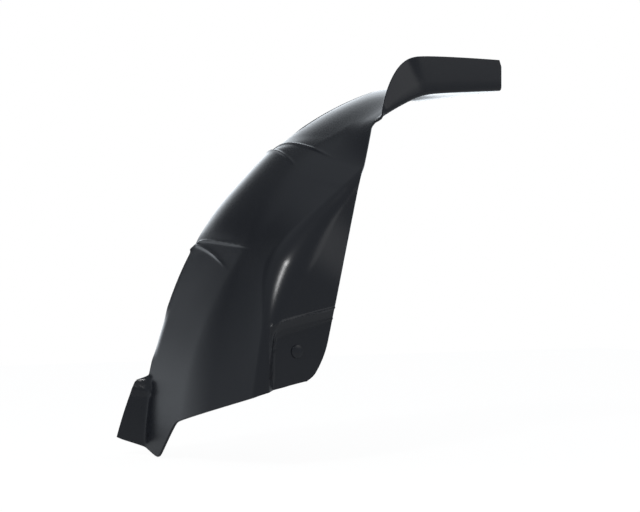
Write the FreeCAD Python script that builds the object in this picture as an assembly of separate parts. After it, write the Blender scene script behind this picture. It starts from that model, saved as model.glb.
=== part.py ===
# Wheel arch liner section: one moulded sheet that wraps a quarter of a wheel arch.
# Frame: millimetres, +Z up, wheel axle parallel to Y, -Y towards the middle of the vehicle.
# The origin is the middle of the fixing boss on the side wall.
import FreeCAD, Part
import math
import os

# Sheet and arch
wall = 2.5                  # sheet thickness
arch_radius = 370.0         # outer face of the arch, about the axle
arch_depth = 178.0          # side wall to fender lip
axle_x = 299.5              # axle from the fixing boss
axle_z = -104.5
tongue_angle = 97.0         # the sheet runs from the tongue round to the foot, degrees about the axle
foot_angle = 181.5

# Side wall and the ridge where it meets the arch
ridge_x = -347.5            # straight ridge of the lower side wall, from the axle
ridge_lean = 0.144
upper_ridge_x = -540.0      # straight ridge of the upper side wall
upper_ridge_lean = 1.176
upper_ridge_start = 126.0   # it sinks in from the arch over these angles
upper_ridge_span = 8.0
ridge_radius_top = 9.0      # rounding of the ridge at its top, in the middle and near the foot
ridge_radius = 30.0
ridge_radius_low = 12.0
shoulder_depth = 78.0       # soft fold where the arch begins to lean in to the ridge
shoulder_radius = 150.0
upper_set_back = 8.0        # the upper side wall lies further in than the lower one
set_back_end = 150.0        # angles between which it slopes out
set_back_span = 13.0
side_edge_x = -298.6        # straight inner edge of the side wall, at axle height
side_edge_lean = 0.231
side_edge_slant = 0.577     # the edge is trimmed at a slant where the wall is set back or sunk
side_edge_turn = 129.3      # the inner edge leaves the side wall here and crosses the arch to the flange
side_edge_span = 7.6
side_corner_round = 0.16    # rounding of the lower inner corner

# Fender lip
lip_swell = 3.1             # the arch swells by this much before the lip turns down
lip_drop = 2.6              # the lip ends this far below the arch
lip_swell_width = 75.0
lip_swell_start = 112.0     # it does so between these angles
lip_swell_end = 148.0
lip_flick = 0.8             # the upper lip ends in a slight outward flick
lip_flick_width = 4.0
dart_count = 2
dart_first_angle = 127.4
dart_pitch = 19.7
dart_height = 1.8
dart_depth = 118.0          # the dart fades out this far in from the lip
dart_bend = 30.0            # the upper crease starts to slant this far in
dart_slant = 0.034          # slant of the upper crease in degrees per millimetre, and its change per dart
dart_slant_step = -0.0235
dart_throat = 1.6           # angle between the two creases at the lip, and its change per dart
dart_throat_step = -0.95
dart_fan = 0.018            # how the lower crease fans out from the upper one
dart_curl = 0.00028
dart_ease = 12.0            # the dart eases back to the arch over this angle
dip_angle = 161.9           # the plain lip below the darts has one dip
dip_span = 8.6              # length of the dip, degrees
dip_width = 11.0
dip_depth = 1.5

# Tongue with its upstanding flange
flange_depth = 38.0         # side wall to flange
flange_height = 34.5
flange_taper = 0.48         # height lost per degree along the tongue
flange_start = 121.3
flange_rise = 8.6           # the free edge climbs to full height over this angle
flange_lean = 3.5           # the first part of the flange leans back, degrees
flange_crease = 113.3       # angle of the crease between the two parts
flange_corner = 4.0         # rounding of the upper end corner
bend_length = 2.6           # developed length of the fold
tongue_z = 351.5            # flat run of the tongue above the axle
tongue_slope = 0.074
tongue_end_x = -58.5
tongue_hold = 101.0         # down to this angle the lip keeps to the arch while the tongue flattens
tongue_hold_width = 120.0

# Foot with its fixing tab
tab_angle = 169.3           # upper end of the tab
tab_fold = 68.0             # degrees
tab_height = 13.0
tab_growth = 1.45           # height gained per degree towards the foot
tab_bend = 7.0
lower_edge_z = 63.7         # lower edge of the sheet at the ridge, above the axle
lower_edge_fall = 0.22
lower_edge_rise = 0.195
notch_round = 3.0           # rounding of the notch between lower edge and foot
foot_tip_y = 141.0
foot_tip_z = 2.5
foot_side_slope = 1.15
tab_lower_slope = 1.05
foot_round = 5.0

# Fixing panel pressed into the side wall, and its boss
panel_depth = 7.0
panel_top_x = -267.4        # upper edge of the panel where it meets the inner edge
panel_top_z = 142.0
panel_top_slope = 0.21
panel_left_x = -331.0
panel_corner = 0.7          # rounding of the upper corner, as a share of the ramp
panel_ramp_top = 10.0
panel_ramp_side = 8.0
boss_radius = 6.0
boss_height = 1.2

# How finely the sheet is sampled
rows = 110
lower_start = 150.0        # the grid is stretched below and above these angles
upper_start = 112.0
lip_points = 2
fold_points = 4
arch_points = 18
ridge_points = 8
side_points = 18

side_y = boss_height - panel_depth


def soft(value):
    """Smooth step from 0 to 1 while value runs from 0 to 1."""
    t = min(1.0, max(0.0, value))
    return t * t * (3.0 - 2.0 * t)


def soft_least(a, b, width):
    """The smaller of two lengths, blended over a width."""
    return 0.5 * (a + b - math.sqrt((a - b) ** 2 + width ** 2))


def polar_line(x_at_zero, lean, angle):
    """Distance from the axle at which a ray meets the line x = x_at_zero + lean * z."""
    return x_at_zero / (math.cos(angle) - lean * math.sin(angle))


def crown(angle):
    """Outer radius of the arch: a circle that runs out into the flat tongue."""
    if math.degrees(angle) > 135.0:
        return arch_radius
    flat = tongue_z / (math.sin(angle) - tongue_slope * math.cos(angle))
    return soft_least(arch_radius, flat, 4.0) + 0.03


def advance(point, heading, length, turn):
    """Move along an arc of given length and total turn in the section plane."""
    y, r = point
    if abs(turn) < 1e-6:
        return (y + length * math.cos(heading), r + length * math.sin(heading)), heading
    radius = length / turn
    centre_y = y - radius * math.sin(heading)
    centre_r = r + radius * math.cos(heading)
    out = heading + turn
    return (centre_y + radius * math.sin(out), centre_r - radius * math.cos(out)), out


def along(point, heading, pieces, distance):
    """Point and heading at a distance along a run of arcs and lines."""
    for length, turn in pieces:
        if distance <= length:
            return advance(point, heading, distance, turn * distance / length)
        point, heading = advance(point, heading, length, turn)
        distance -= length
    return advance(point, heading, distance, 0.0)


def face_stations(deg, pieces, reach):
    """Distances of the grid points: even near the tongue, shared between arch, ridge and side wall below."""
    count = arch_points + ridge_points + side_points
    ridge_start = pieces[0][0] + pieces[1][0] + pieces[2][0]
    ridge_end = soft_least(ridge_start + pieces[3][0], 0.9 * reach, 8.0)
    ridge_start = soft_least(ridge_start, 0.78 * reach, 8.0)
    share = soft((deg - side_edge_turn) / 10.0)
    stations = [ridge_start * i / float(arch_points) for i in range(arch_points)]
    ridge_step = (ridge_end - ridge_start) / float(ridge_points)
    stations += [ridge_start + ridge_step * i for i in range(ridge_points)]
    stations += [ridge_end + (reach - ridge_end) * i / float(side_points) for i in range(side_points)]
    return [(1.0 - share) * reach * i / float(count) + share * stations[i] for i in range(count)]


def past_edge(deg, point, edge_y):
    """Whether a point of a section line lies past the inner edge, a slanted plane or a given depth."""
    y, r = point
    if y <= edge_y:
        return True
    if deg < side_edge_turn - 3.0:
        return False
    x = r * math.cos(math.radians(deg))
    z = r * math.sin(math.radians(deg))
    level = y + panel_depth * panel_share(x, z)
    corner = min(14.0, side_corner_round * max(0.0, deg - 157.0) ** 2)
    return x - side_edge_slant * level >= side_edge_x + side_edge_lean * z - corner


def section(angle):
    """Outer line of the sheet at an angle about the axle, from the lip to the inner edge."""
    deg = math.degrees(angle)
    radius = crown(angle)
    set_back = upper_set_back * soft((set_back_end - deg) / set_back_span)
    ridge = radius
    if deg > upper_ridge_start:
        upper = soft_least(radius, polar_line(upper_ridge_x, upper_ridge_lean, angle), 3.0)
        ridge = radius + (upper - radius) * soft((deg - upper_ridge_start) / upper_ridge_span)
    if deg > 135.0:
        ridge = soft_least(ridge, polar_line(ridge_x, ridge_lean, angle), 3.0)
    rounding = ridge_radius_top + (ridge_radius - ridge_radius_top) * soft((deg - 133.0) / 16.0)
    rounding += (ridge_radius_low - ridge_radius) * soft((deg - lower_start) / 10.0)
    lean = math.atan2(radius - ridge, shoulder_depth - set_back)
    corner = 0.5 * math.pi - lean
    fold_in = shoulder_radius * math.tan(0.5 * lean)
    ridge_in = rounding * math.tan(0.5 * corner)
    slant = math.hypot(radius - ridge, shoulder_depth - set_back)

    # lip margin: a plain band, or the tab folded outwards at the foot
    tab = soft((deg - tab_angle + 1.4) / 1.4)
    raised = soft((deg - tab_angle + 0.3) / 1.5)
    lip_turn = math.radians(tab_fold) * tab
    lip_run = 3.0 + raised * (tab_height - 0.64 * tab_bend - 3.0 + tab_growth * max(0.0, deg - tab_angle))
    start = (arch_depth - tab_bend - 3.0 + 2.0 * tab, radius)
    back, turned = advance(start, 0.0, tab_bend, lip_turn)
    points = []
    for i in range(lip_points):
        part = lip_run * (1.0 - i / float(lip_points))
        point, heading = advance(back, turned, part, 0.0)
        points.append((point, turned + math.pi, 1.0 - tab))
    for i in range(fold_points):
        part = 1.0 - i / float(fold_points)
        point, heading = advance(start, 0.0, tab_bend * part, lip_turn * part)
        points.append((point, heading + math.pi, 1.0 - tab))

    # arch, ridge and side wall
    pieces = [(start[0] - shoulder_depth - fold_in, 0.0)]
    pieces.append((max(shoulder_radius * lean, 0.01), lean))
    pieces.append((slant - fold_in - ridge_in, 0.0))
    pieces.append((rounding * corner, corner))
    fold = soft((flange_start + 1.0 - deg) / 2.0)
    climb = soft((side_edge_turn - deg) / side_edge_span)
    edge_y = set_back - 1.0 + (flange_depth - set_back + 1.0) * climb
    reach = 0.0
    step = 16.0
    while step > 0.01:
        point, heading = along(start, math.pi, pieces, reach + step)
        if not past_edge(deg, point, edge_y):
            reach += step
        else:
            step *= 0.5
    reach -= fold * 0.36 * bend_length + bend_length + 3.0
    for distance in face_stations(deg, pieces, reach):
        point, heading = along(start, math.pi, pieces, distance)
        points.append((point, heading, 1.0))

    # inner margin: a plain band, or the flange folded upwards on the tongue
    point, heading = along(start, math.pi, pieces, reach)
    lean_back = math.radians(flange_lean) * soft((deg - flange_crease) / 1.5)
    turn = -(0.5 * math.pi + lean_back) * fold
    rise = math.sin(0.5 * math.pi * min(1.0, max(0.0, (flange_start - deg) / flange_rise)))
    run = flange_height * rise - flange_taper * max(0.0, flange_crease - deg)
    run = 3.0 + fold * max(0.0, run - 3.0 - 0.64 * bend_length)
    margin = []
    for i in range(fold_points):
        part = i / float(fold_points)
        margin.append((bend_length * part, advance(point, heading, bend_length * part, turn * part)))
    point, heading = advance(point, heading, bend_length, turn)
    for i in range(lip_points + 1):
        part = run * i / float(lip_points)
        margin.append((bend_length + part, advance(point, heading, part, 0.0)))
    for distance, (folded, folded_heading) in margin:
        plain, plain_heading = along(start, math.pi, pieces, reach + distance)
        y = plain[0] + (folded[0] - plain[0]) * fold
        r = plain[1] + (folded[1] - plain[1]) * fold
        points.append(((y, r), plain_heading + (folded_heading - plain_heading) * fold, 1.0 - fold))
    return points


def dart(deg, inset):
    """Height of the pressed darts: each rises from its upper crease to its lower one and eases back."""
    height = 0.0
    fade = soft(1.0 - inset / dart_depth)
    run_in = 0.5 * (inset - dart_bend + math.hypot(inset - dart_bend, 0.66 * dart_bend))
    for i in range(dart_count):
        upper = dart_first_angle + i * dart_pitch
        lower = upper + dart_throat + i * dart_throat_step + dart_fan * inset + dart_curl * inset ** 2
        upper += (dart_slant + i * dart_slant_step) * run_in
        up = min(1.0, max(0.0, (deg - upper) / (lower - upper)))
        height += dart_height * fade * up * soft(1.0 - (deg - lower) / dart_ease)
    return height


def ramp(value):
    """Straight slope from 0 to 1 with rounded ends."""
    rounding = 0.12
    return 0.5 * (1.0 + math.hypot(value, rounding) - math.hypot(value - 1.0, rounding))


def panel_share(x, z):
    """How far a point of the side wall lies down the ramps of the fixing panel, from 0 to 1."""
    below = (panel_top_z + panel_top_slope * (x - panel_top_x) - z) / panel_ramp_top
    beside = (x - panel_left_x) / panel_ramp_side
    return ramp(soft_least(below, beside, panel_corner))


def relief(deg, y, r, facing):
    """Height of the pressed details along the outward normal: lip, darts, dip and fixing panel."""
    inset = arch_depth - y
    part = min(1.0, max(0.0, inset / lip_swell_width))
    upper_lip = soft((deg - lip_swell_start + 8.0) / 8.0)
    swell = 6.75 * lip_swell * part * (1.0 - part) ** 2 - lip_drop * (1.0 - part) ** 2
    height = swell * upper_lip * soft((lip_swell_end + 0.6 - deg) / 1.2)
    held = soft((deg - tongue_hold) / 8.0) * soft(1.0 - inset / tongue_hold_width)
    height += (arch_radius - crown(math.radians(deg))) * held
    flick = upper_lip * soft((dart_first_angle - 3.0 - deg) / 3.0)
    height += lip_flick * soft(1.0 - inset / lip_flick_width) * flick
    height += dart(deg, max(0.0, inset))
    along_dip = 2.0 * (deg - dip_angle) / dip_span
    height -= dip_depth * soft(1.0 - along_dip ** 2) * max(0.0, 1.0 - max(0.0, inset) / dip_width) ** 2
    sunk = panel_share(r * math.cos(math.radians(deg)), r * math.sin(math.radians(deg)))
    return height - panel_depth * sunk * soft((facing - 0.3) / 0.5)


def lower_end(x, y):
    """Height above the axle at which the sheet is cut off: lower edge, notch, foot and tab."""
    edge = lower_edge_z - lower_edge_fall * y + lower_edge_rise * (x + 365.0)
    side = foot_tip_z + foot_side_slope * (foot_tip_y - y)
    tip = foot_tip_z + 0.08 * (y - foot_tip_y) + tab_lower_slope * max(0.0, -x - arch_radius - 2.0)
    return soft_least(edge, -soft_least(-side, -tip, foot_round), notch_round)


def column_end(lines, angles, index):
    """Angle at which one line of the grid reaches the lower end of the sheet."""
    before = None
    for line, deg in zip(lines, angles):
        (y, r), heading, pressed = line[index]
        x = r * math.cos(math.radians(deg))
        over = r * math.sin(math.radians(deg)) - lower_end(x, y)
        if over <= 0.0 and before is not None:
            return before[1] + (deg - before[1]) * before[0] / (before[0] - over)
        before = (over, deg)
    return angles[-1]


def column_start(lines, angles, index):
    """Angle at which one line of the grid reaches the end of the tongue."""
    before = None
    for line, deg in zip(lines, angles):
        (y, r), heading, pressed = line[index]
        drop = line[-1][0][1] - r
        corner = flange_corner * max(0.0, 1.0 - drop / flange_corner) ** 2
        over = tongue_end_x - corner - r * math.cos(math.radians(deg))
        if over >= 0.0 and before is not None:
            return before[1] + (deg - before[1]) * before[0] / (before[0] - over)
        before = (over, deg)
    return angles[0]


def grid_angles():
    """Angle of every grid point: even steps, stretched at both ends to meet the cut edges."""
    low = [lower_start + 0.4 * i for i in range(int((foot_angle - lower_start) / 0.4) + 1)]
    high = [tongue_angle + 0.5 * i for i in range(int((upper_start - tongue_angle) / 0.5) + 1)]
    low_lines = [section(math.radians(deg)) for deg in low]
    high_lines = [section(math.radians(deg)) for deg in high]
    count = len(low_lines[0])
    ends = [column_end(low_lines, low, j) for j in range(count)]
    starts = [column_start(high_lines, high, j) for j in range(count)]
    table = []
    for i in range(rows):
        deg = tongue_angle + (foot_angle - tongue_angle) * i / (rows - 1.0)
        line = []
        for j in range(count):
            at = deg
            if deg > lower_start:
                part = (deg - lower_start) / (foot_angle - lower_start)
                at = lower_start + part * (ends[j] - lower_start)
            if deg < upper_start:
                part = (upper_start - deg) / (upper_start - tongue_angle)
                at = upper_start - part * (upper_start - starts[j])
            line.append(at)
        table.append(line)
    return table


def sheet_point(deg, index, depth):
    """Point of one grid line at an angle, a given depth inside the outer face."""
    angle = math.radians(deg)
    (y, r), heading, pressed = section(angle)[index]
    out_y = math.sin(heading)
    out_r = -math.cos(heading)
    lift = pressed * relief(deg, y, r, -out_y) - depth
    y += lift * out_y
    r += lift * out_r
    return arch_point(r * math.cos(angle), y, r * math.sin(angle))


def sheet_grid(table, depth):
    """Grid of points of the sheet, a given depth inside its outer face."""
    return [[sheet_point(deg, j, depth) for j, deg in enumerate(line)] for line in table]


def knots(count, degree):
    """Even clamped knots and their multiplicities."""
    inner = count - degree
    values = [i / float(inner) for i in range(inner + 1)]
    times = [degree + 1] + [1] * (inner - 1) + [degree + 1]
    return values, times


def face_from(grid):
    """Smooth face whose poles are a grid; a grid of two lines gives a ruled strip."""
    degree_u = min(3, len(grid) - 1)
    degree_v = min(3, len(grid[0]) - 1)
    values_u, times_u = knots(len(grid), degree_u)
    values_v, times_v = knots(len(grid[0]), degree_v)
    surface = Part.BSplineSurface()
    surface.buildFromPolesMultsKnots(
        grid, times_u, times_v, values_u, values_v, False, False, degree_u, degree_v)
    return surface.toShape()


def sheet():
    """Closed thin solid between the outer and the wheel side of the sheet."""
    table = grid_angles()
    outer = sheet_grid(table, 0.0)
    inner = sheet_grid(table, wall)
    faces = [face_from(outer), face_from(inner)]
    faces.append(face_from([outer[0], inner[0]]))
    faces.append(face_from([outer[-1], inner[-1]]))
    faces.append(face_from([[row[0] for row in outer], [row[0] for row in inner]]))
    faces.append(face_from([[row[-1] for row in outer], [row[-1] for row in inner]]))
    shell = Part.makeShell(faces)
    shell.sewShape()
    solid = Part.makeSolid(shell)
    if solid.Volume < 0:
        solid.reverse()
    return solid


def arch_point(x, y, z):
    """Point given from the axle and the side wall."""
    return FreeCAD.Vector(axle_x + x, side_y + y, axle_z + z)


def fixing_boss():
    """Round boss on the floor of the fixing panel; its flat face is at the origin."""
    height = boss_height + 0.5 * wall
    origin = FreeCAD.Vector(0.0, 0.0, 0.0)
    return Part.makeCylinder(boss_radius, height, origin, FreeCAD.Vector(0.0, 1.0, 0.0))


def build():
    body = sheet()
    body = body.fuse(fixing_boss())
    largest = sorted(body.Solids, key=lambda solid: solid.Volume)[-1]
    os.makedirs("parts", exist_ok=True)
    largest.exportStep("parts/arch_liner.step")
    return largest


liner = build()
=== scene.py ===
import math

import bpy
import numpy as np
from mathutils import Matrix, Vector


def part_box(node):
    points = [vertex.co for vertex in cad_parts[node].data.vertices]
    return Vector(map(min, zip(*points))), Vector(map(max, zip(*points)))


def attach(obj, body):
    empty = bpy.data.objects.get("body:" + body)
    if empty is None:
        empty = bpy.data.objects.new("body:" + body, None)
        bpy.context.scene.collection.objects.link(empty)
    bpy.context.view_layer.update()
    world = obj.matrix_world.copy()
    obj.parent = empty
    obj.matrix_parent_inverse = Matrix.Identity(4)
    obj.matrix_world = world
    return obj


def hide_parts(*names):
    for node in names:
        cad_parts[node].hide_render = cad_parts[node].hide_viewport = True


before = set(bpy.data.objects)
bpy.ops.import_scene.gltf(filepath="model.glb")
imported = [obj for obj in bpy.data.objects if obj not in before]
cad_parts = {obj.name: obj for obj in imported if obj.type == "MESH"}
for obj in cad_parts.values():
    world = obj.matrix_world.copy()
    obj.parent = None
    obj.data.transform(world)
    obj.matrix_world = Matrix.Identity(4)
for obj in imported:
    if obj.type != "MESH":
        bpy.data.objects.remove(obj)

bl_info = {
    "name": "Wheel arch liner",
    "version": (1, 0, 0),
    "blender": (4, 5, 0),
    "location": "3D View > Sidebar > Liner",
    "description": "Builds a moulded wheel arch liner and its studio",
    "category": "Object",
}

NODE = "arch_liner"
MM = 0.001
FAR = 10.0
SECTION_REACH = 400.0 * MM
SECTION_STEP = 0.1 * MM
SHORTEST_ARC = 0.01 * MM
SHARP_ANGLE = math.radians(32.0)


def length(name, description, value):
    """Length property, given in millimetres and kept in metres."""
    return bpy.props.FloatProperty(
        name=name, description=description, default=value * MM, unit="LENGTH", precision=5)


def angle(name, description, value):
    """Angle property about the wheel axle, given in degrees."""
    return bpy.props.FloatProperty(
        name=name, description=description, default=math.radians(value), subtype="ANGLE", unit="ROTATION")


def stretch(name, description, start, span):
    """Angle at which something starts or ends, and the span that it takes, given in degrees."""
    return bpy.props.FloatVectorProperty(
        name=name, description=description, default=(math.radians(start), math.radians(span)), size=2,
        unit="ROTATION")


def number(name, description, value):
    """Plain number property."""
    return bpy.props.FloatProperty(name=name, description=description, default=value, precision=4)


def count(name, description, value):
    """Whole number property."""
    return bpy.props.IntProperty(name=name, description=description, default=value)


def colour(name, description, value):
    """Linear colour property."""
    return bpy.props.FloatVectorProperty(
        name=name, description=description, default=value, size=3, subtype="COLOR", min=0.0, max=1.0)


class LinerForm(bpy.types.PropertyGroup):
    """Sizes of the moulded sheet."""

    wall: length("Wall", "Sheet thickness", 2.5)
    arch_radius: length("Arch radius", "Outer face of the arch about the axle", 370.0)
    arch_depth: length("Arch depth", "Side wall to fender lip", 178.0)
    axle_x: length("Axle x", "Axle from the fixing boss", 299.5)
    axle_z: length("Axle z", "Axle from the fixing boss", -104.5)
    tongue_angle: angle("Tongue angle", "Where the sheet begins", 97.0)
    foot_angle: angle("Foot angle", "Where the sheet ends", 181.5)
    lower_start: angle("Lower stretch", "The grid is stretched below this angle", 150.0)
    upper_start: angle("Upper stretch", "The grid is stretched above this angle", 112.0)
    band: length("Band", "Plain margin at the lip and at the inner edge", 3.0)
    fold_share: number("Fold share", "Share of a fold that counts to the height beyond it", 0.64)

    ridge_x: length("Ridge x", "Straight ridge of the lower side wall from the axle", -351.5)
    ridge_lean: number("Ridge lean", "Lean of the ridge", 0.144)
    ridge_start: angle("Ridge start", "The lower ridge plays no part above this angle", 135.1)
    ridge_blend: length("Ridge blend", "Rounding of the bend between the two ridges", 11.0)
    upper_ridge_x: length("Upper ridge x", "Straight ridge of the upper side wall", -540.0)
    upper_ridge_lean: number("Upper ridge lean", "Lean of the upper ridge", 1.176)
    upper_ridge_sink: stretch("Upper ridge sink", "Where it sinks in from the arch", 122.0, 9.0)
    upper_ridge_blend: length("Upper ridge blend", "Rounding between the arch and the upper ridge", 3.0)
    ridge_radius_top: length("Top ridge radius", "Rounding at the top of the ridge", 10.0)
    ridge_radius: length("Ridge radius", "Rounding in the middle of the ridge", 30.0)
    ridge_growth: stretch("Ridge growth", "Where the rounding grows from the top on", 133.0, 16.0)
    ridge_radius_low: length("Low ridge radius", "Rounding of the ridge near the foot", 12.0)
    ridge_low_span: angle("Low ridge span", "The rounding shrinks over this angle", 10.0)
    shoulder_depth: length("Shoulder depth", "Soft fold where the arch leans in", 78.0)
    shoulder_radius: length("Shoulder radius", "Rounding of the soft fold", 150.0)
    upper_set_back: length("Upper set back", "Upper side wall lies further in", 8.0)
    set_back_slope: stretch("Set back slope", "Where the side wall slopes out again", 150.0, 13.0)
    side_edge_x: length("Side edge x", "Straight inner edge of the side wall", -298.6)
    side_edge_lean: number("Side edge lean", "Lean of the inner edge", 0.231)
    side_edge_slant: number("Side edge slant", "Slant of the trim where the wall is sunk", 0.577)
    side_edge_turn: angle("Side edge turn", "Where the edge leaves the side wall", 129.3)
    side_edge_out: length("Side edge out", "The upper inner edge stands out by this", 0.6)
    side_edge_back: stretch("Side edge back", "Where it comes back", 133.0, 5.0)
    side_root_out: length("Side root out", "The inner edge stands out further at the flange", 4.0)
    side_root_back: stretch("Side root back", "Where it comes back", 124.0, 2.0)
    side_corner_round: length("Side corner", "Rounding of the lower inner corner per square degree", 0.16)
    side_corner_start: angle("Side corner start", "The inner edge curves in from here", 157.0)
    side_corner_tight: angle("Side corner tight", "It curves in more from here", 163.0)
    side_corner_gain: number("Side corner gain", "How much more it curves in", 6.0)
    side_corner_most: length("Side corner most", "Limit of the curve", 24.0)

    lip_swell: length("Lip swell", "The arch swells before the lip turns down", 6.0)
    lip_drop: length("Lip drop", "The lip ends this far below the arch", 0.6)
    lip_swell_width: length("Lip swell width", "Width of the swell", 120.0)
    lip_start: stretch("Lip start", "Where the swell grows below the plain upper lip", 104.0, 8.0)
    lip_flick: length("Lip flick", "Outward flick at the edge of the upper lip", 0.8)
    lip_flick_width: length("Lip flick width", "Width of the flick", 4.0)
    lip_flick_end: angle("Lip flick end", "The flick fades over this angle, as far above the darts", 3.0)
    lip_end: stretch("Lip end", "Where the swell ends above the plain lower lip", 149.8, 4.0)
    lip_upper_loss: number("Upper lip loss", "Share of the swell that is missing above the darts", 0.42)
    lip_upper_half: angle("Upper lip half", "Half the angle over which it comes in", 2.0)
    lip_lower_loss: number("Lower lip loss", "Share of the swell that is missing lower down", 0.45)
    lip_shrink: stretch("Lip shrink", "Where it shrinks", 143.5, 4.5)
    lip_lift: length("Lip lift", "The lip turns up by this lower down", 2.7)
    lip_turn_up: stretch("Lip turn", "Where it turns up", 133.0, 10.0)
    dart_count: count("Darts", "Number of pressed darts", 2)
    dart_first_angle: angle("First dart", "Angle of the first dart", 127.9)
    dart_pitch: angle("Dart pitch", "Angle between darts", 19.3)
    dart_height: length("Dart height", "Step of a dart", 1.8)
    dart_depth: length("Dart depth", "The dart fades out this far in", 118.0)
    dart_bend: length("Dart bend", "The upper crease starts to slant this far in", 30.0)
    dart_bend_round: length("Dart bend round", "Rounding of that bend", 19.8)
    dart_hook: length("Dart hook", "The upper crease hooks down over this length at the lip", 5.0)
    dart_slant: number("Dart slant", "Slant of the upper crease in degrees per millimetre", 0.026)
    dart_slant_step: number("Dart slant step", "Change of slant per dart", -0.0155)
    dart_throat: number("Dart throat", "Degrees between the creases at the lip", 1.6)
    dart_throat_step: number("Dart throat step", "Change of throat per dart", -0.95)
    dart_fan: number("Dart fan", "How the lower crease fans out", 0.018)
    dart_curl: number("Dart curl", "How the lower crease curls", 0.00028)
    dart_least: number("Dart least", "Least degrees between the creases", 0.5)
    dart_ease: angle("Dart ease", "The dart eases back over this angle", 12.0)
    crease_height: length("Crease height", "Height of the crease lines", 1.5)
    crease_width: length("Crease width", "Half width of the crease lines", 1.35)
    upper_crease_depth: length("Upper crease", "The upper crease is whole this far in", 70.8)
    upper_crease_fade: length("Upper crease fade", "It fades over this length", 59.0)
    lower_crease_depth: length("Lower crease", "Length of the lower crease", 92.0)
    dip_angle: angle("Dip angle", "Middle of the dip in the plain lip", 161.9)
    dip_span: angle("Dip span", "Length of the dip", 8.6)
    dip_width: length("Dip width", "Width of the dip", 11.0)
    dip_depth: length("Dip depth", "Depth of the dip at the lip", 1.5)

    flange_depth: length("Flange depth", "Side wall to flange", 38.0)
    flange_height: length("Flange height", "Full height of the tongue flange", 34.5)
    flange_taper: length("Flange taper", "Height lost per degree", 0.62)
    flange_start: angle("Flange start", "Where the free edge begins to climb", 121.3)
    flange_rise: angle("Flange rise", "The free edge climbs over this angle", 8.6)
    flange_root: angle("Flange root", "Half the angle over which the fold comes in", 1.0)
    flange_lean: angle("Flange lean", "The first part of the flange leans back", 3.5)
    flange_crease: angle("Flange crease", "Crease between the two parts of the flange", 112.4)
    flange_crease_span: angle("Flange crease span", "Width of that crease", 1.5)
    flange_corner: length("Flange corner", "Rounding of the upper end corner", 2.2)
    bend_length: length("Fold length", "Developed length of the flange fold", 2.6)
    tongue_z: length("Tongue height", "Flat run of the tongue above the axle", 351.5)
    tongue_slope: number("Tongue slope", "Slope of the tongue", 0.074)
    tongue_end_x: length("Tongue end", "End of the tongue from the axle", -58.5)
    tongue_keep: stretch("Tongue keep", "From here on the lip keeps to the arch", 101.0, 8.0)
    tongue_keep_width: length("Tongue keep width", "Width of the lip that does so", 120.0)

    tab_angle: angle("Tab angle", "Upper end of the fixing tab", 169.3)
    tab_lead: angle("Tab lead", "The fold begins this far above the tab", 1.4)
    tab_fold_span: angle("Tab fold span", "The fold comes in over this angle", 1.0)
    tab_rise_span: angle("Tab rise span", "The tab rises over this angle", 0.9)
    tab_out: length("Tab out", "The fold of the tab lies further out by this", 2.0)
    tab_fold: angle("Tab fold angle", "The tab is folded out by this angle", 55.0)
    tab_height: length("Tab height", "Height of the tab at its upper end", 15.0)
    tab_growth: length("Tab growth", "Height gained per degree", 1.45)
    tab_bead: length("Tab bead", "Height of the rounded bead across the top of the tab", 1.4)
    tab_bead_width: length("Tab bead width", "Half width of that bead", 3.2)
    tab_bead_angle: angle("Tab bead angle", "The bead lies this far below the top of the tab", 1.0)
    tab_bend: length("Tab fold", "Developed length of the tab fold", 10.0)
    lower_edge_z: length("Lower edge", "Lower edge at the ridge above the axle", 63.7)
    lower_edge_x: length("Lower edge x", "Where that height is measured from the axle", -365.0)
    lower_edge_fall: number("Lower edge fall", "Fall towards the lip", 0.22)
    lower_edge_rise: number("Lower edge rise", "Rise along the side wall", 0.195)
    notch_round: length("Notch round", "Rounding of the notch", 3.0)
    foot_tip_y: length("Foot tip y", "Tip of the foot from the side wall", 141.0)
    foot_tip_z: length("Foot tip z", "Tip of the foot above the axle", 2.5)
    foot_side_slope: number("Foot side", "Slope of the foot's side", 1.15)
    foot_tip_slope: number("Foot tip slope", "Slope of the end of the foot", 0.3)
    tab_start: length("Tab start", "The tab is cut by itself this far outside the arch", 2.0)
    tab_edge_slope: number("Tab edge slope", "Slope that keeps the lower edge clear of the tab", 1.5)
    tab_lower_slope: number("Tab lower slope", "Slope of the tab's lower end", 0.16)
    tab_corner_start: length("Tab corner start", "The lower end of the tab curves up from here", 16.0)
    tab_corner_curve: number("Tab corner curve", "How much it curves, per metre", 60.0)
    foot_round: length("Foot round", "Rounding of the foot", 5.0)

    panel_depth: length("Panel depth", "Depth of the fixing panel", 7.0)
    panel_top_x: length("Panel top x", "Upper edge of the panel at the inner edge", -267.4)
    panel_top_z: length("Panel top z", "Upper edge of the panel at the inner edge", 142.0)
    panel_corner: number("Panel corner", "Rounding of the corner as a share of the ramp", 0.7)
    panel_top_slope: number("Panel slope", "Slope of the upper edge", 0.21)
    panel_left_x: length("Panel side", "Side of the panel from the axle", -331.0)
    panel_ramp_top: length("Panel top ramp", "Width of the upper ramp", 10.0)
    panel_ramp_side: length("Panel side ramp", "Width of the side ramp", 8.0)
    panel_fade: length("Panel fade", "The raised lines run out this far above the lower edge", 16.0)
    panel_line: length("Panel line", "Height of the raised lines round the panel", 0.9)
    panel_line_width: length("Panel line width", "Half width of the raised lines", 0.85)
    boss_radius: length("Boss radius", "Radius of the fixing boss", 6.0)
    boss_height: length("Boss height", "Height of the fixing boss", 1.2)
    boss_edge: length("Boss edge", "Rounding of the boss", 0.9)

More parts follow.
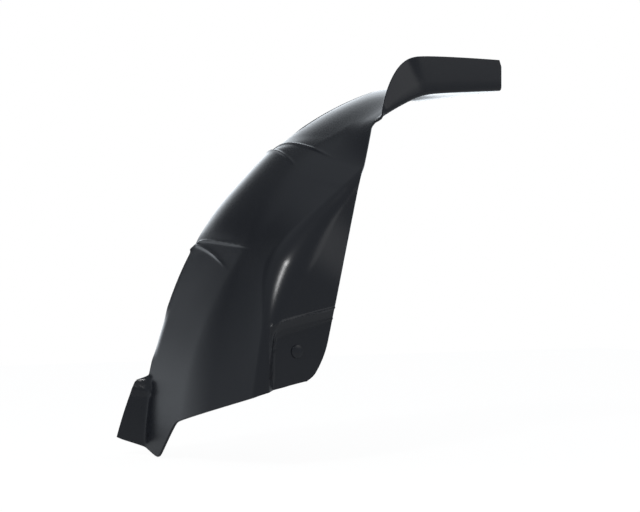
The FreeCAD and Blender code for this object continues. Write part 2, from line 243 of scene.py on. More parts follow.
    rows: count("Rows", "Grid rows along the arch", 325)
    lip_points: count("Lip points", "Grid points across a plain margin", 4)
    fold_points: count("Fold points", "Grid points across a fold", 7)
    arch_points: count("Arch points", "Grid points across the arch", 50)
    ridge_points: count("Ridge points", "Grid points across the ridge", 20)
    side_points: count("Side points", "Grid points across the side wall", 50)
    rim_points: count("Rim points", "Points round a cut edge", 4)
    rim_reach: number("Rim reach", "Bulge of a cut edge as a share of half the wall", 0.4)
    boss_points: count("Boss points", "Points round the boss", 48)


class LinerFinish(bpy.types.PropertyGroup):
    """Looks of the moulded plastic."""

    base: colour("Base", "Colour of the plastic", (0.0080, 0.0094, 0.0140))
    worn: colour("Worn", "Colour where the surface is dulled", (0.0125, 0.0138, 0.0185))
    roughness: number("Roughness", "Satin gloss of the face", 0.23)
    roughness_spread: number("Roughness spread", "Change of gloss over the face", 0.04)
    grain_scale: number("Grain scale", "Grains per metre", 2600.0)
    grain_height: number("Grain strength", "Strength of the fine grain", 0.012)
    grain_depth: length("Grain depth", "Depth of the fine grain", 0.4)
    cloud_scale: number("Cloud scale", "Dull clouds per metre", 14.0)
    ior: number("Index of refraction", "That of the plastic", 1.5)


class LinerStage(bpy.types.PropertyGroup):
    """Camera, floor and lights."""

    azimuth: angle("Azimuth", "Viewing angle about the vertical", -30.0)
    elevation: angle("Elevation", "Viewing angle above the horizon", 0.0)
    distance: length("Distance", "Camera from the target", 1741.35)
    lens: number("Lens", "Focal length for a sensor of 36 mm", 106.875)
    target_x: length("Target x", "Point in the middle of the picture", 61.3)
    target_y: length("Target y", "Point in the middle of the picture", 67.5)
    target_z: length("Target z", "Point in the middle of the picture", 83.1)
    room_front: number("Front room", "Level of the room behind the camera", 0.36)
    room_above: number("Upper room", "Level of the room above the back screen", 0.1)
    room_back: number("Back room", "Level of the room behind the object", 2.1)
    room_tint: colour("Room tint", "Colour of the room's light", (0.88, 0.94, 1.0))
    key_power: number("Key power", "Watts of the front softbox", 4.6)
    key_distance: length("Key distance", "Front softbox from the target", 1500.0)
    key_width: length("Key width", "Width of the front softbox", 200.0)
    key_height: length("Key height", "Height of the front softbox", 170.0)
    fill_power: number("Fill power", "Watts of the large side softbox", 3.2)
    fill_distance: length("Fill distance", "Side softbox from the target", 2600.0)
    fill_size: length("Fill size", "Width and height of the side softbox", 1200.0)
    floor_gap: length("Floor gap", "Floor below the object", 1.0)
    floor_half: length("Floor half", "Half width of the floor", 1600.0)


def soft(value):
    """Smooth step from 0 to 1 while value runs from 0 to 1."""
    t = np.clip(value, 0.0, 1.0)
    return t * t * (3.0 - 2.0 * t)


def eased(deg, start, span):
    """Smooth step from 0 at a start to 1 a span later; start and span are in radians."""
    return soft((deg - math.degrees(start)) / math.degrees(span))


def fading(deg, end, span):
    """Smooth step from 1 a span before an end to 0 at the end; end and span are in radians."""
    return soft((math.degrees(end) - deg) / math.degrees(span))


def bell(distance, half_width):
    """Bell curve across a narrow raised line."""
    return np.exp(-(distance / half_width) ** 2)


def soft_least(a, b, width):
    """The smaller of two lengths, blended over a width."""
    return 0.5 * (a + b - np.sqrt((a - b) ** 2 + width ** 2))


def polar_line(x_at_zero, lean, at):
    """Distance from the axle at which a ray meets the line x = x_at_zero + lean * z."""
    return x_at_zero / (math.cos(at) - lean * math.sin(at))


def crown(form, at):
    """Outer radius of the arch: a circle that runs out into the flat tongue."""
    tongue_reach = math.radians(135.0)
    blend = 4.0 * MM
    lost_in_blend = 0.03 * MM
    at = np.minimum(at, tongue_reach)
    flat = form.tongue_z / (np.sin(at) - form.tongue_slope * np.cos(at))
    return soft_least(form.arch_radius, flat, blend) + lost_in_blend


def advance(point, heading, run, turn):
    """Points along an arc of given length and total turn; run may be an array with matching turn."""
    y, r = point
    run = np.asarray(run, float)
    turn = np.asarray(turn, float)
    straight = np.abs(turn) < 1e-6
    safe = np.where(straight, 1.0, turn)
    radius = run / safe
    out = heading + turn
    arc_y = y - radius * math.sin(heading) + radius * np.sin(out)
    arc_r = r + radius * math.cos(heading) - radius * np.cos(out)
    line_y = y + run * math.cos(heading)
    line_r = r + run * math.sin(heading)
    return np.where(straight, line_y, arc_y), np.where(straight, line_r, arc_r), out


def along(start, heading, pieces, distance):
    """Points and headings at distances along a run of arcs and lines."""
    distance = np.asarray(distance, float)
    ys, rs, hs = advance(start, heading, distance, np.zeros_like(distance))
    passed = 0.0
    point = start
    for run, turn in pieces + [(FAR, 0.0)]:
        local = np.clip(distance - passed, 0.0, run)
        y, r, h = advance(point, heading, local, turn * local / run)
        inside = distance >= passed
        ys = np.where(inside, y, ys)
        rs = np.where(inside, r, rs)
        hs = np.where(inside, h, hs)
        y, r, h = advance(point, heading, run, turn)
        point = (float(y), float(r))
        heading = float(h)
        passed += run
    return ys, rs, hs


def face_stations(form, deg, pieces, reach):
    """Distances of the grid points: even near the tongue, shared by arch, ridge and side wall below."""
    latest_start = 0.78 * reach
    latest_end = 0.9 * reach
    blend = 8.0 * MM
    shared_span = math.radians(10.0)
    ridge_start = pieces[0][0] + pieces[1][0] + pieces[2][0]
    ridge_end = soft_least(ridge_start + pieces[3][0], latest_end, blend)
    ridge_start = soft_least(ridge_start, latest_start, blend)
    total = form.arch_points + form.ridge_points + form.side_points
    even = reach * np.arange(total) / total
    share = eased(deg, form.side_edge_turn, shared_span)
    arch = ridge_start * np.arange(form.arch_points) / form.arch_points
    ridge = ridge_start + (ridge_end - ridge_start) * np.arange(form.ridge_points) / form.ridge_points
    side = ridge_end + (reach - ridge_end) * np.arange(form.side_points) / form.side_points
    return (1.0 - share) * even + share * np.concatenate([arch, ridge, side])


def past_edge(form, deg, y, r, edge_y):
    """Which points of a section line lie past the inner edge, a slanted plane or a given depth."""
    past = y <= edge_y
    at = math.radians(deg)
    if at < form.flange_start + form.flange_root:
        return past
    x = r * math.cos(at)
    z = r * math.sin(at)
    level = y + form.panel_depth * panel_share(form, x, z)
    wide = max(0.0, deg - math.degrees(form.side_corner_start))
    tight = max(0.0, deg - math.degrees(form.side_corner_tight))
    corner = form.side_corner_round * (wide ** 2 + form.side_corner_gain * tight ** 2)
    corner = min(form.side_corner_most, corner)
    corner -= form.side_edge_out * fading(deg, *form.side_edge_back)
    corner -= form.side_root_out * fading(deg, *form.side_root_back)
    edge_x = form.side_edge_x + form.side_edge_lean * z - corner
    return past | (x - form.side_edge_slant * level >= edge_x)


def section(form, at):
    """Outer line of the sheet in the half plane at one angle about the axle.

    Runs from the lip to the inner edge: lip band or tab, arch, ridge, side wall, then band or flange.
    Gives rows of y, radius, heading and the share of the pressed details that each point takes.
    """
    deg = math.degrees(at)
    radius = float(crown(form, at))
    set_back = form.upper_set_back * fading(deg, *form.set_back_slope)
    ridge = radius
    if at > form.upper_ridge_sink[0]:
        line = polar_line(form.upper_ridge_x, form.upper_ridge_lean, at)
        upper = float(soft_least(radius, line, form.upper_ridge_blend))
        ridge += (upper - radius) * eased(deg, *form.upper_ridge_sink)
    if at > form.ridge_start:
        ridge = float(soft_least(ridge, polar_line(form.ridge_x, form.ridge_lean, at), form.ridge_blend))
    middle = eased(deg, *form.ridge_growth)
    low = eased(deg, form.lower_start, form.ridge_low_span)
    rounding = form.ridge_radius_top + (form.ridge_radius - form.ridge_radius_top) * middle
    rounding += (form.ridge_radius_low - form.ridge_radius) * low
    lean = math.atan2(radius - ridge, form.shoulder_depth - set_back)
    corner = 0.5 * math.pi - lean
    fold_in = form.shoulder_radius * math.tan(0.5 * lean)
    ridge_in = rounding * math.tan(0.5 * corner)
    slant = math.hypot(radius - ridge, form.shoulder_depth - set_back)

    tab = eased(deg, form.tab_angle - form.tab_lead, form.tab_fold_span)
    raised = eased(deg, form.tab_angle - form.tab_rise_span, form.tab_rise_span)
    lip_turn = form.tab_fold * tab
    grown = form.tab_growth * max(0.0, deg - math.degrees(form.tab_angle))
    lip_run = form.band + raised * (form.tab_height - form.fold_share * form.tab_bend - form.band + grown)
    start = (form.arch_depth - form.tab_bend - form.band + form.tab_out * tab, radius)
    back_y, back_r, turned = advance(start, 0.0, form.tab_bend, lip_turn)
    part = 1.0 - np.arange(form.lip_points) / form.lip_points
    y1, r1, h1 = advance((float(back_y), float(back_r)), float(turned), lip_run * part, np.zeros_like(part))
    part = 1.0 - np.arange(form.fold_points) / form.fold_points
    y2, r2, h2 = advance(start, 0.0, form.tab_bend * part, lip_turn * part)

    pieces = [(start[0] - form.shoulder_depth - fold_in, 0.0)]
    pieces.append((max(form.shoulder_radius * lean, SHORTEST_ARC), lean))
    pieces.append((slant - fold_in - ridge_in, 0.0))
    pieces.append((rounding * corner, corner))
    fold = fading(deg, form.flange_start + form.flange_root, 2.0 * form.flange_root)
    climb = fading(deg, form.flange_start + 2.0 * form.flange_root, form.flange_root)
    below_wall = set_back - 1.0 * MM
    edge_y = below_wall + (form.flange_depth - below_wall) * climb
    trial = np.arange(0.0, SECTION_REACH, SECTION_STEP)
    ys, rs = along(start, math.pi, pieces, trial)[:2]
    reach = float(trial[np.argmax(past_edge(form, deg, ys, rs, edge_y))])
    reach -= (1.0 + fold * (1.0 - form.fold_share)) * form.bend_length + form.band
    y3, r3, h3 = along(start, math.pi, pieces, face_stations(form, deg, pieces, reach))

    end_y, end_r, end_h = along(start, math.pi, pieces, np.array([reach]))
    point = (float(end_y[0]), float(end_r[0]))
    heading = float(end_h[0])
    lean_back = form.flange_lean * eased(deg, form.flange_crease, form.flange_crease_span)
    turn = -(0.5 * math.pi + lean_back) * fold
    way_up = min(1.0, max(0.0, (form.flange_start - at) / form.flange_rise))
    rise = math.sin(0.5 * math.pi * way_up)
    run = form.flange_height * rise - form.flange_taper * max(0.0, math.degrees(form.flange_crease) - deg)
    run = form.band + fold * max(0.0, run - form.band - form.fold_share * form.bend_length)
    fold_part = np.arange(form.fold_points) / form.fold_points
    y4, r4, h4 = advance(point, heading, form.bend_length * fold_part, turn * fold_part)
    top_y, top_r, top_h = advance(point, heading, form.bend_length, turn)
    part = np.arange(form.lip_points + 1) / form.lip_points
    y5, r5, h5 = advance((float(top_y), float(top_r)), float(top_h), run * part, np.zeros_like(part))
    distance = np.concatenate([form.bend_length * fold_part, form.bend_length + run * part])
    plain = np.array(along(start, math.pi, pieces, reach + distance))
    folded = np.array([np.concatenate([y4, y5]), np.concatenate([r4, r5]), np.concatenate([h4, h5])])
    y4, r4, h4 = plain + (folded - plain) * fold

    share = np.concatenate([np.full(len(y1) + len(y2), 1.0 - tab), np.ones(len(y3)),
                            np.full(len(y4), 1.0 - fold)])
    headings = np.concatenate([h1 + math.pi, h2 + math.pi, h3, h4])
    return np.array([np.concatenate([y1, y2, y3, y4]), np.concatenate([r1, r2, r3, r4]), headings, share])


def darts(form, deg, inset):
    """Height of the pressed darts: each rises from its upper crease to its lower one and eases back.

    Both creases also stand out as narrow rounded lines, a bell curve across each of them.
    """
    inset = np.maximum(0.0, inset)
    mm = inset / MM
    fade = soft(1.0 - inset / form.dart_depth)
    past_bend = inset - form.dart_bend
    run_in = 0.5 * (past_bend + np.hypot(past_bend, form.dart_bend_round)) / MM
    hook = np.exp(-inset / form.dart_hook)
    upper_fade = soft(1.0 - (inset - form.upper_crease_depth) / form.upper_crease_fade)
    lower_fade = soft(2.0 * (1.0 - inset / form.lower_crease_depth))
    per_degree = form.arch_radius * math.radians(1.0)
    height = np.zeros_like(inset)
    for i in range(form.dart_count):
        first = math.degrees(form.dart_first_angle + i * form.dart_pitch)
        throat = form.dart_throat + i * form.dart_throat_step
        upper = first + (form.dart_slant + i * form.dart_slant_step) * run_in + hook
        lower = first + throat + form.dart_fan * mm + form.dart_curl * mm ** 2
        lower = np.maximum(lower, upper + form.dart_least)
        up = np.clip((deg - upper) / (lower - upper), 0.0, 1.0)
        height += form.dart_height * fade * up * soft(1.0 - (deg - lower) / math.degrees(form.dart_ease))
        height += form.crease_height * upper_fade * bell((deg - upper) * per_degree, form.crease_width)
        height += form.crease_height * lower_fade * bell((deg - lower) * per_degree, form.crease_width)
    return height


def ramp(value):
    """Straight slope from 0 to 1 with rounded ends."""
    rounding = 0.05
    return 0.5 * (1.0 + np.hypot(value, rounding) - np.hypot(value - 1.0, rounding))


def panel_way(form, x, z):
    """Way into the fixing panel: 0 at its outer edge and 1 at the edge of its floor."""
    below = (form.panel_top_z + form.panel_top_slope * (x - form.panel_top_x) - z) / form.panel_ramp_top
    beside = (x - form.panel_left_x) / form.panel_ramp_side
    return soft_least(below, beside, form.panel_corner)


def panel_share(form, x, z):
    """How far a point of the side wall lies down the ramps of the fixing panel, from 0 to 1."""
    return ramp(panel_way(form, x, z))


def panel_line(form, x, z, at):
    """Narrow raised line round the panel, along one of its edges, that runs out above the lower edge."""
    line = bell((panel_way(form, x, z) - at) * form.panel_ramp_top, form.panel_line_width)
    return line * soft((z - lower_end(form, x, 0.0)) / form.panel_fade)


def lip_height(form, deg, inset):
    """Height of the lip: a swell along the arch, a drop or lift at its edge and a small flick."""
    part = np.clip(inset / form.lip_swell_width, 0.0, 1.0)
    upper_lip = eased(deg, *form.lip_start)
    swell = upper_lip * fading(deg, *form.lip_end)
    above = fading(deg, form.dart_first_angle + form.lip_upper_half, 2.0 * form.lip_upper_half)
    below = eased(deg, *form.lip_shrink)
    bulge = (1.0 - form.lip_upper_loss * above) * (1.0 - form.lip_lower_loss * below)
    drop = form.lip_drop - form.lip_lift * eased(deg, *form.lip_turn_up)
    # Greatest value that part * (1 - part) ** 2 takes between 0 and 1
    highest = 4.0 / 27.0
    height = (form.lip_swell * bulge * part / highest - drop) * (1.0 - part) ** 2 * swell
    flick = upper_lip * fading(deg, form.dart_first_angle - form.lip_flick_end, form.lip_flick_end)
    return height + form.lip_flick * soft(1.0 - inset / form.lip_flick_width) * flick


def relief(form, deg, y, r, facing):
    """Height of the pressed details along the outward normal: lip, darts, dip and fixing panel."""
    inset = form.arch_depth - y
    height = lip_height(form, deg, inset) + darts(form, deg, inset)
    held = eased(deg, *form.tongue_keep) * soft(1.0 - inset / form.tongue_keep_width)
    height = height + (form.arch_radius - crown(form, np.radians(deg))) * held
    along_dip = 2.0 * (deg - math.degrees(form.dip_angle)) / math.degrees(form.dip_span)
    across_dip = np.clip(1.0 - np.maximum(0.0, inset) / form.dip_width, 0.0, 1.0)
    height = height - form.dip_depth * soft(1.0 - along_dip ** 2) * across_dip ** 2
    least_facing = 0.3
    facing_span = 0.5
    x = r * np.cos(np.radians(deg))
    z = r * np.sin(np.radians(deg))
    panel = form.panel_line * (panel_line(form, x, z, 0.0) + panel_line(form, x, z, 1.0))
    panel = panel - form.panel_depth * panel_share(form, x, z)
    return height + panel * soft((facing - least_facing) / facing_span)


def lower_end(form, x, y):
    """Height above the axle at which the sheet is cut off: lower edge, notch, foot and tab."""
    beyond = np.maximum(0.0, -x - form.arch_radius - form.tab_start)
    edge = form.lower_edge_z - form.lower_edge_fall * y + form.lower_edge_rise * (x - form.lower_edge_x)
    edge = edge + form.tab_edge_slope * beyond
    side = form.foot_tip_z + form.foot_side_slope * (form.foot_tip_y - y)
    tip = form.foot_tip_z + form.foot_tip_slope * (y - form.foot_tip_y) + form.tab_lower_slope * beyond
    tip = tip + form.tab_corner_curve * np.maximum(0.0, beyond - form.tab_corner_start) ** 2
    return soft_least(edge, -soft_least(-side, -tip, form.foot_round), form.notch_round)


def crossing(values, angles):
    """Angle at which each column of values first falls to zero."""
    found = values <= 0.0
    found[0] = False
    at = np.argmax(found, axis=0)
    at = np.where(found.any(axis=0), at, len(angles) - 1)
    columns = np.arange(values.shape[1])
    before = values[at - 1, columns]
    after = values[at, columns]
    share = np.clip(before / np.where(before == after, 1.0, before - after), 0.0, 1.0)
    return angles[at - 1] + (angles[at] - angles[at - 1]) * share


def row_angles(form, first, last):
    """Angles of the rows, closer across the darts, the upper edge of the panel and the top of the tab."""
    dart_half, dart_gain = 2.4, 2.6
    panel_top, panel_half, panel_gain = 155.0, 3.0, 1.8
    tab_half, tab_gain = 1.2, 2.2
    closer = [(panel_top, panel_half, panel_gain), (math.degrees(form.tab_angle), tab_half, tab_gain)]
    for i in range(form.dart_count):
        upper = math.degrees(form.dart_first_angle + i * form.dart_pitch)
        closer.append((upper + dart_half, dart_half, dart_gain))
    fine = np.linspace(first, last, 4000)
    density = np.ones_like(fine)
    for middle, half, gain in closer:
        density += gain * soft(2.0 - np.abs(fine - middle) / half)
    share = np.concatenate([[0.0], np.cumsum(0.5 * (density[1:] + density[:-1]))])
    return np.interp(np.arange(form.rows) / (form.rows - 1.0), share / share[-1], fine)


def sheet_grids(form):
    """Grids of the outer and the wheel side of the sheet.

    Sections at even angles about the axle are joined column by column; each column is stretched so that
    its first point lies on the end of the tongue and its last one on the lower edge.
    """
    first = math.degrees(form.tongue_angle)
    last = math.degrees(form.foot_angle)
    low = math.degrees(form.lower_start)
    high = math.degrees(form.upper_start)
    step = 0.2
    angles = np.arange(first, last + 0.05 * step, step)
    table = np.array([section(form, math.radians(a)) for a in angles])
    turn = np.radians(angles)[:, None]
    x = table[:, 1] * np.cos(turn)
    z = table[:, 1] * np.sin(turn)
    over = z - lower_end(form, x, table[:, 0])
    ends = crossing(over[angles >= low], angles[angles >= low])
    drop = table[:, 1, -1:] - table[:, 1]
    corner = form.flange_corner * np.maximum(0.0, 1.0 - drop / form.flange_corner) ** 2
    starts = crossing((x + corner - form.tongue_end_x)[angles <= high], angles[angles <= high])
    even = row_angles(form, first, last)
    at = np.repeat(even[:, None], table.shape[2], axis=1)
    at = np.where(at > low, low + (at - low) * (ends - low) / (last - low), at)
    at = np.where(at < high, high - (high - at) * (high - starts) / (high - first), at)
    values = np.empty((4,) + at.shape)
    for j in range(at.shape[1]):
        for k in range(len(values)):
            values[k, :, j] = np.interp(at[:, j], angles, table[:, k, j])
    y, r, heading, share = values
    out_y = np.sin(heading)
    out_r = -np.cos(heading)
    raised = share * relief(form, at, y, r, -out_y)
    tab = slice(0, form.lip_points + form.fold_points)
    beside = (np.radians(at[:, tab]) - form.tab_angle - form.tab_bead_angle) * form.arch_radius
    raised[:, tab] += form.tab_bead * (1.0 - share[:, tab]) * bell(beside, form.tab_bead_width)
    turn = np.radians(at)
    side_y = form.boss_height - form.panel_depth
    grids = []
    for depth in (0.0, form.wall):
        lift = raised - depth
        yy = y + lift * out_y
        rr = r + lift * out_r
        x = form.axle_x + rr * np.cos(turn)
        z = form.axle_z + rr * np.sin(turn)
        grids.append(np.stack([x, side_y + yy, z], axis=-1))
    return grids


def rim(form, outer, inner, beside):
    """Rounded cut edge: points of a half ellipse from the outer to the wheel side, away from the sheet."""
    middle = 0.5 * (outer + inner)
    half = 0.5 * (outer - inner)
    away = outer - beside
    away = away / np.maximum(np.linalg.norm(away, axis=1, keepdims=True), 1e-9)
    reach = form.rim_reach * np.linalg.norm(half, axis=1, keepdims=True)
    lines = []
    for i in range(1, form.rim_points):
        turn = math.pi * i / form.rim_points
        lines.append(middle + half * math.cos(turn) + away * reach * math.sin(turn))
    return lines


def add_mesh(name, points, faces, material):
    """Smooth shaded mesh object from points and faces."""
    mesh = bpy.data.meshes.new(name)
    mesh.from_pydata(points.tolist(), [], faces)
    mesh.update()
    mesh.polygons.foreach_set("use_smooth", [True] * len(mesh.polygons))
    mesh.set_sharp_from_angle(angle=SHARP_ANGLE)
    piece = bpy.data.objects.new(name, mesh)
    bpy.context.scene.collection.objects.link(piece)
    mesh.materials.append(material)
    return piece


def quads(ids):
    """Faces between neighbouring points of a grid of ids."""
    a = ids[:-1, :-1].ravel()
    b = ids[1:, :-1].ravel()
    c = ids[1:, 1:].ravel()
    d = ids[:-1, 1:].ravel()
    return np.stack([a, b, c, d], axis=1)


def sheet_mesh(form):
    """Points and faces of the closed sheet: two grids joined by rounded rims round the border."""
    outer, inner = sheet_grids(form)
    rows, columns = outer.shape[:2]
    ids_outer = np.arange(rows * columns).reshape(rows, columns)
    ids_inner = ids_outer + rows * columns
    border = [(0, j) for j in range(columns)]
    border += [(i, columns - 1) for i in range(1, rows)]
    border += [(rows - 1, j) for j in range(columns - 2, -1, -1)]
    border += [(i, 0) for i in range(rows - 2, 0, -1)]
    at = np.array(border)
    inward = np.clip(at, 1, [rows - 2, columns - 2])
    lines = rim(form, outer[at[:, 0], at[:, 1]], inner[at[:, 0], at[:, 1]],
                outer[inward[:, 0], inward[:, 1]])
    first = 2 * rows * columns
    ring = [ids_outer[at[:, 0], at[:, 1]]]
    for i in range(len(lines)):
        ring.append(first + i * len(border) + np.arange(len(border)))
    ring.append(ids_inner[at[:, 0], at[:, 1]])
    ring = np.array(ring)
    ring = np.concatenate([ring, ring[:, :1]], axis=1)
    points = np.concatenate([outer.reshape(-1, 3), inner.reshape(-1, 3)] + lines)
    faces = np.concatenate([quads(ids_outer), quads(ids_inner)[:, ::-1], quads(ring)[:, ::-1]])
    return points, faces.tolist()


def boss_mesh(form):
    """Round boss: a rounded profile turned about the Y axis, from inside the sheet to its flat face."""
    around = form.boss_points
    edge = form.boss_edge
    half_way = 0.3 * edge
    root = form.boss_height + 0.5 * form.wall
    profile = [(form.boss_radius - edge, 0.0), (form.boss_radius - half_way, half_way),
               (form.boss_radius, edge), (form.boss_radius, root)]
    points = []
    for radius, depth in profile:
        for i in range(around):
            turn = 2.0 * math.pi * i / around
            points.append((radius * math.cos(turn), depth, radius * math.sin(turn)))
    points.append((0.0, 0.0, 0.0))
    points.append((0.0, root, 0.0))
    faces = []
    levels = len(profile)
    for k in range(levels - 1):
        for i in range(around):
            j = (i + 1) % around
            faces.append((k * around + i, k * around + j, (k + 1) * around + j, (k + 1) * around + i))
    top = levels * around
    for i in range(around):
        j = (i + 1) % around
        faces.append((top, j, i))
        faces.append((top + 1, (levels - 1) * around + i, (levels - 1) * around + j))
    return np.array(points), faces


def mapped(tree, value, given, wanted, smooth=False):
    """Output of a node that maps a value from one range to another."""
    node = tree.nodes.new("ShaderNodeMapRange")
    if smooth:
        node.interpolation_type = "SMOOTHSTEP"
    node.inputs["From Min"].default_value, node.inputs["From Max"].default_value = given
    node.inputs["To Min"].default_value, node.inputs["To Max"].default_value = wanted
    tree.links.new(value, node.inputs["Value"])
    return node.outputs["Result"]


def finish_group(finish):
    """Node group of the moulded finish: colour, roughness and normal from noise in object space.

    The grain fades out where the face is seen at a grazing angle.
    """
    group = bpy.data.node_groups.new("Moulded finish", "ShaderNodeTree")
    group.interface.new_socket("Color", in_out="OUTPUT", socket_type="NodeSocketColor")
    group.interface.new_socket("Roughness", in_out="OUTPUT", socket_type="NodeSocketFloat")
    group.interface.new_socket("Normal", in_out="OUTPUT", socket_type="NodeSocketVector")
    nodes, links = group.nodes, group.links
    place = nodes.new("ShaderNodeTexCoord")
    out = nodes.new("NodeGroupOutput")

    cloud = nodes.new("ShaderNodeTexNoise")
    cloud.inputs["Scale"].default_value = finish.cloud_scale
    cloud.inputs["Detail"].default_value = 4.0
    links.new(place.outputs["Object"], cloud.inputs["Vector"])
    cloud_edges = (0.3, 0.7)
    gloss = (finish.roughness - finish.roughness_spread, finish.roughness + finish.roughness_spread)
    links.new(mapped(group, cloud.outputs["Fac"], cloud_edges, gloss), out.inputs["Roughness"])

    tint = nodes.new("ShaderNodeMix")
    tint.data_type = "RGBA"
    tint.inputs[6].default_value = (*finish.base, 1.0)
    tint.inputs[7].default_value = (*finish.worn, 1.0)
    links.new(cloud.outputs["Fac"], tint.inputs[0])
    links.new(tint.outputs[2], out.inputs["Color"])

    grain = nodes.new("ShaderNodeTexNoise")
    grain.inputs["Scale"].default_value = finish.grain_scale
    grain.inputs["Detail"].default_value = 2.0
    links.new(place.outputs["Object"], grain.inputs["Vector"])
    fine = nodes.new("ShaderNodeBump")
    fine.inputs["Distance"].default_value = finish.grain_depth
    links.new(grain.outputs["Fac"], fine.inputs["Height"])
    facing = nodes.new("ShaderNodeLayerWeight")
    facing.inputs["Blend"].default_value = 0.5
    grazing = (0.35, 0.7)
    strength = mapped(group, facing.outputs["Facing"], grazing, (finish.grain_height, 0.0))
    links.new(strength, fine.inputs["Strength"])
    links.new(fine.outputs["Normal"], out.inputs["Normal"])
    return group


def plastic_material(finish):
    """Satin black moulded plastic."""
    material = bpy.data.materials.new("Liner plastic")
    material.use_nodes = True
    nodes, links = material.node_tree.nodes, material.node_tree.links
    shader = nodes["Principled BSDF"]
    shader.inputs["Specular IOR Level"].default_value = 0.5
    shader.inputs["IOR"].default_value = finish.ior
    group = nodes.new("ShaderNodeGroup")
    group.node_tree = finish_group(finish)
    links.new(group.outputs["Color"], shader.inputs["Base Color"])
    links.new(group.outputs["Roughness"], shader.inputs["Roughness"])
    links.new(group.outputs["Normal"], shader.inputs["Normal"])
    return material


class LINER_OT_sheet(bpy.types.Operator):
    """Build the moulded sheet and its boss in place of the solid"""

    bl_idname = "liner.sheet"
    bl_label = "Build liner"

    def execute(self, context):
        form = context.scene.liner_form
        material = plastic_material(context.scene.liner_finish)
        points, faces = sheet_mesh(form)
        sheet = add_mesh("liner_sheet", points, faces, material)
        points, faces = boss_mesh(form)
        boss = add_mesh("liner_boss", points, faces, material)
        for piece in (sheet, boss):
            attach(piece, "root")
        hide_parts(NODE)
        return {"FINISHED"}


def aim(thing, target):
    """Turn a lamp or camera so that it looks at a point."""
    thing.rotation_euler = (target - thing.location).to_track_quat("-Z", "Y").to_euler()


def soft_box(name, place, target, size, power):
    """Rectangular area lamp."""
    lamp = bpy.data.lights.new(name, "AREA")
    lamp.shape = "RECTANGLE"
    lamp.size, lamp.size_y = size
    lamp.energy = power
    thing = bpy.data.objects.new(name, lamp)
    thing.location = place
    aim(thing, target)
    bpy.context.scene.collection.objects.link(thing)
    return thing


def smooth_range(tree, value, start, end):
    """Output that runs smoothly from 0 to 1 while a value runs from start to end."""
    return mapped(tree, value, (start, end), (0.0, 1.0), smooth=True)


def room_world(stage):
    """World: white to the camera, and to the object a dim room with a bright screen low behind it.

    Heights and depths in the room run from -1 to 1, as the parts of a direction do.
    """
    back_start, back_full = 0.25, 0.8
    screen_edge, screen_full = 0.66, 0.97
    screen_top, screen_low = 0.58, 0.14
    world = bpy.data.worlds.new("Studio room")
    world.use_nodes = True
    nodes, links = world.node_tree.nodes, world.node_tree.links
    room = nodes["Background"]
    place = nodes.new("ShaderNodeTexCoord")
    split = nodes.new("ShaderNodeSeparateXYZ")
    links.new(place.outputs["Generated"], split.inputs["Vector"])
    behind = smooth_range(world.node_tree, split.outputs["Y"], back_start, back_full)
    upper = nodes.new("ShaderNodeValToRGB")
    links.new(split.outputs["Z"], upper.inputs["Fac"])
    front, above = stage.room_front, stage.room_above
    # Heights behind the object, and the level of the room at each
    steps = [(0.0, 2.2 * front), (0.12, 1.8 * front), (0.22, front), (0.3, 0.62 * front),
             (0.45, above), (0.62, above), (0.82, front)]
    while len(upper.color_ramp.elements) < len(steps):
        upper.color_ramp.elements.new(0.5)
    for element, (height, value) in zip(upper.color_ramp.elements, steps):
        element.position = height
        element.color = (value, value, value, 1.0)
    level = nodes.new("ShaderNodeMix")
    level.inputs["A"].default_value = stage.room_front
    links.new(behind, level.inputs["Factor"])
    links.new(upper.outputs["Color"], level.inputs["B"])
    facing = nodes.new("ShaderNodeVectorMath")
    facing.operation = "DOT_PRODUCT"
    facing.inputs[1].default_value = (-math.sin(stage.azimuth), math.cos(stage.azimuth), 0.0)
    links.new(place.outputs["Generated"], facing.inputs[0])
    wide = smooth_range(world.node_tree, facing.outputs["Value"], screen_edge, screen_full)
    low = smooth_range(world.node_tree, split.outputs["Z"], screen_top, screen_low)
    screen = nodes.new("ShaderNodeMath")
    screen.operation = "MULTIPLY"
    links.new(wide, screen.inputs[0])
    links.new(low, screen.inputs[1])
    total = nodes.new("ShaderNodeMath")
    total.operation = "MULTIPLY_ADD"
    total.inputs[1].default_value = stage.room_back
    links.new(screen.outputs["Value"], total.inputs[0])
    links.new(level.outputs["Result"], total.inputs[2])
    links.new(total.outputs["Value"], room.inputs["Strength"])
    room.inputs["Color"].default_value = (*stage.room_tint, 1.0)
    white = nodes.new("ShaderNodeBackground")
    white.inputs["Color"].default_value = (1.0, 1.0, 1.0, 1.0)
    white.inputs["Strength"].default_value = 1.0
    seen = nodes.new("ShaderNodeLightPath")
    mix = nodes.new("ShaderNodeMixShader")
    links.new(seen.outputs["Is Camera Ray"], mix.inputs["Fac"])
    links.new(room.outputs["Background"], mix.inputs[1])
    links.new(white.outputs["Background"], mix.inputs[2])
    links.new(mix.outputs["Shader"], nodes["World Output"].inputs["Surface"])
    return world


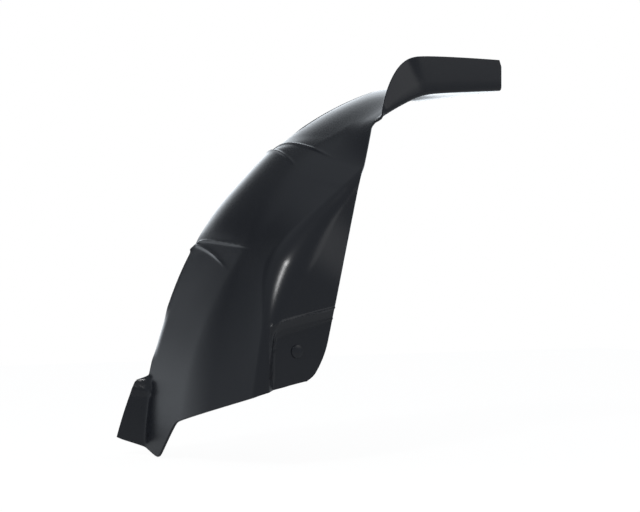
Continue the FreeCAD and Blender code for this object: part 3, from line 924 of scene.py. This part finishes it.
def floor_material():
    """Pale floor that the camera sees as white, a little darker in the object's shadow."""
    shade, glow, white_share = 0.85, 1.1, 0.86
    material = bpy.data.materials.new("Studio floor")
    material.use_nodes = True
    nodes, links = material.node_tree.nodes, material.node_tree.links
    shader = nodes["Principled BSDF"]
    shader.inputs["Base Color"].default_value = (shade, shade, shade, 1.0)
    shader.inputs["Roughness"].default_value = 1.0
    shader.inputs["Specular IOR Level"].default_value = 0.0
    white = nodes.new("ShaderNodeEmission")
    white.inputs["Color"].default_value = (1.0, 1.0, 1.0, 1.0)
    white.inputs["Strength"].default_value = glow
    seen = nodes.new("ShaderNodeLightPath")
    part = nodes.new("ShaderNodeMath")
    part.operation = "MULTIPLY"
    part.inputs[1].default_value = white_share
    links.new(seen.outputs["Is Camera Ray"], part.inputs[0])
    mix = nodes.new("ShaderNodeMixShader")
    links.new(part.outputs["Value"], mix.inputs["Fac"])
    links.new(shader.outputs["BSDF"], mix.inputs[1])
    links.new(white.outputs["Emission"], mix.inputs[2])
    links.new(mix.outputs["Shader"], nodes["Material Output"].inputs["Surface"])
    return material


class LINER_OT_stage(bpy.types.Operator):
    """Set up floor, lights and camera"""

    bl_idname = "liner.stage"
    bl_label = "Set stage"

    def execute(self, context):
        scene = context.scene
        stage = scene.liner_stage
        scene.view_settings.view_transform = "Standard"
        scene.world = room_world(stage)
        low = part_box(NODE)[0]
        z = low[2] - stage.floor_gap
        half = stage.floor_half
        points = np.array([(-half, -half, z), (half, -half, z), (half, half, z), (-half, half, z)])
        floor = add_mesh("studio_floor", points, [(0, 1, 2, 3)], floor_material())
        target = Vector((stage.target_x, stage.target_y, stage.target_z))
        key_way = Vector((-0.634, -0.436, 0.639))
        key = target + stage.key_distance * key_way
        soft_box("key_softbox", key, target, (stage.key_width, stage.key_height), stage.key_power)
        fill_way = Vector((0.51, -0.76, 0.40))
        fill = target + stage.fill_distance * fill_way
        soft_box("fill_softbox", fill, target, (stage.fill_size, stage.fill_size), stage.fill_power)
        camera = bpy.data.cameras.new("photo_camera")
        camera.lens = stage.lens
        camera.sensor_width = 36.0
        camera.clip_end = 50.0
        thing = bpy.data.objects.new("photo_camera", camera)
        back = Vector((math.sin(stage.azimuth) * math.cos(stage.elevation),
                       -math.cos(stage.azimuth) * math.cos(stage.elevation), math.sin(stage.elevation)))
        thing.location = target + stage.distance * back
        aim(thing, target)
        scene.collection.objects.link(thing)
        scene.camera = thing
        return {"FINISHED"}


class LINER_PT_panel(bpy.types.Panel):
    """Sidebar panel of the liner"""

    bl_idname = "LINER_PT_panel"
    bl_label = "Wheel arch liner"
    bl_space_type = "VIEW_3D"
    bl_region_type = "UI"
    bl_category = "Liner"

    def draw(self, context):
        layout = self.layout
        for group in (context.scene.liner_form, context.scene.liner_finish, context.scene.liner_stage):
            box = layout.box()
            for name in group.__annotations__:
                box.prop(group, name)
        layout.operator("liner.sheet")
        layout.operator("liner.stage")


CLASSES = (LinerForm, LinerFinish, LinerStage, LINER_OT_sheet, LINER_OT_stage, LINER_PT_panel)


def register():
    for cls in CLASSES:
        bpy.utils.register_class(cls)
    bpy.types.Scene.liner_form = bpy.props.PointerProperty(type=LinerForm)
    bpy.types.Scene.liner_finish = bpy.props.PointerProperty(type=LinerFinish)
    bpy.types.Scene.liner_stage = bpy.props.PointerProperty(type=LinerStage)


def unregister():
    del bpy.types.Scene.liner_stage
    del bpy.types.Scene.liner_finish
    del bpy.types.Scene.liner_form
    for cls in reversed(CLASSES):
        bpy.utils.unregister_class(cls)


def main():
    register()
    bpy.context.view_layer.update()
    bpy.ops.liner.sheet()
    bpy.ops.liner.stage()


if __name__ == "__main__":
    main()
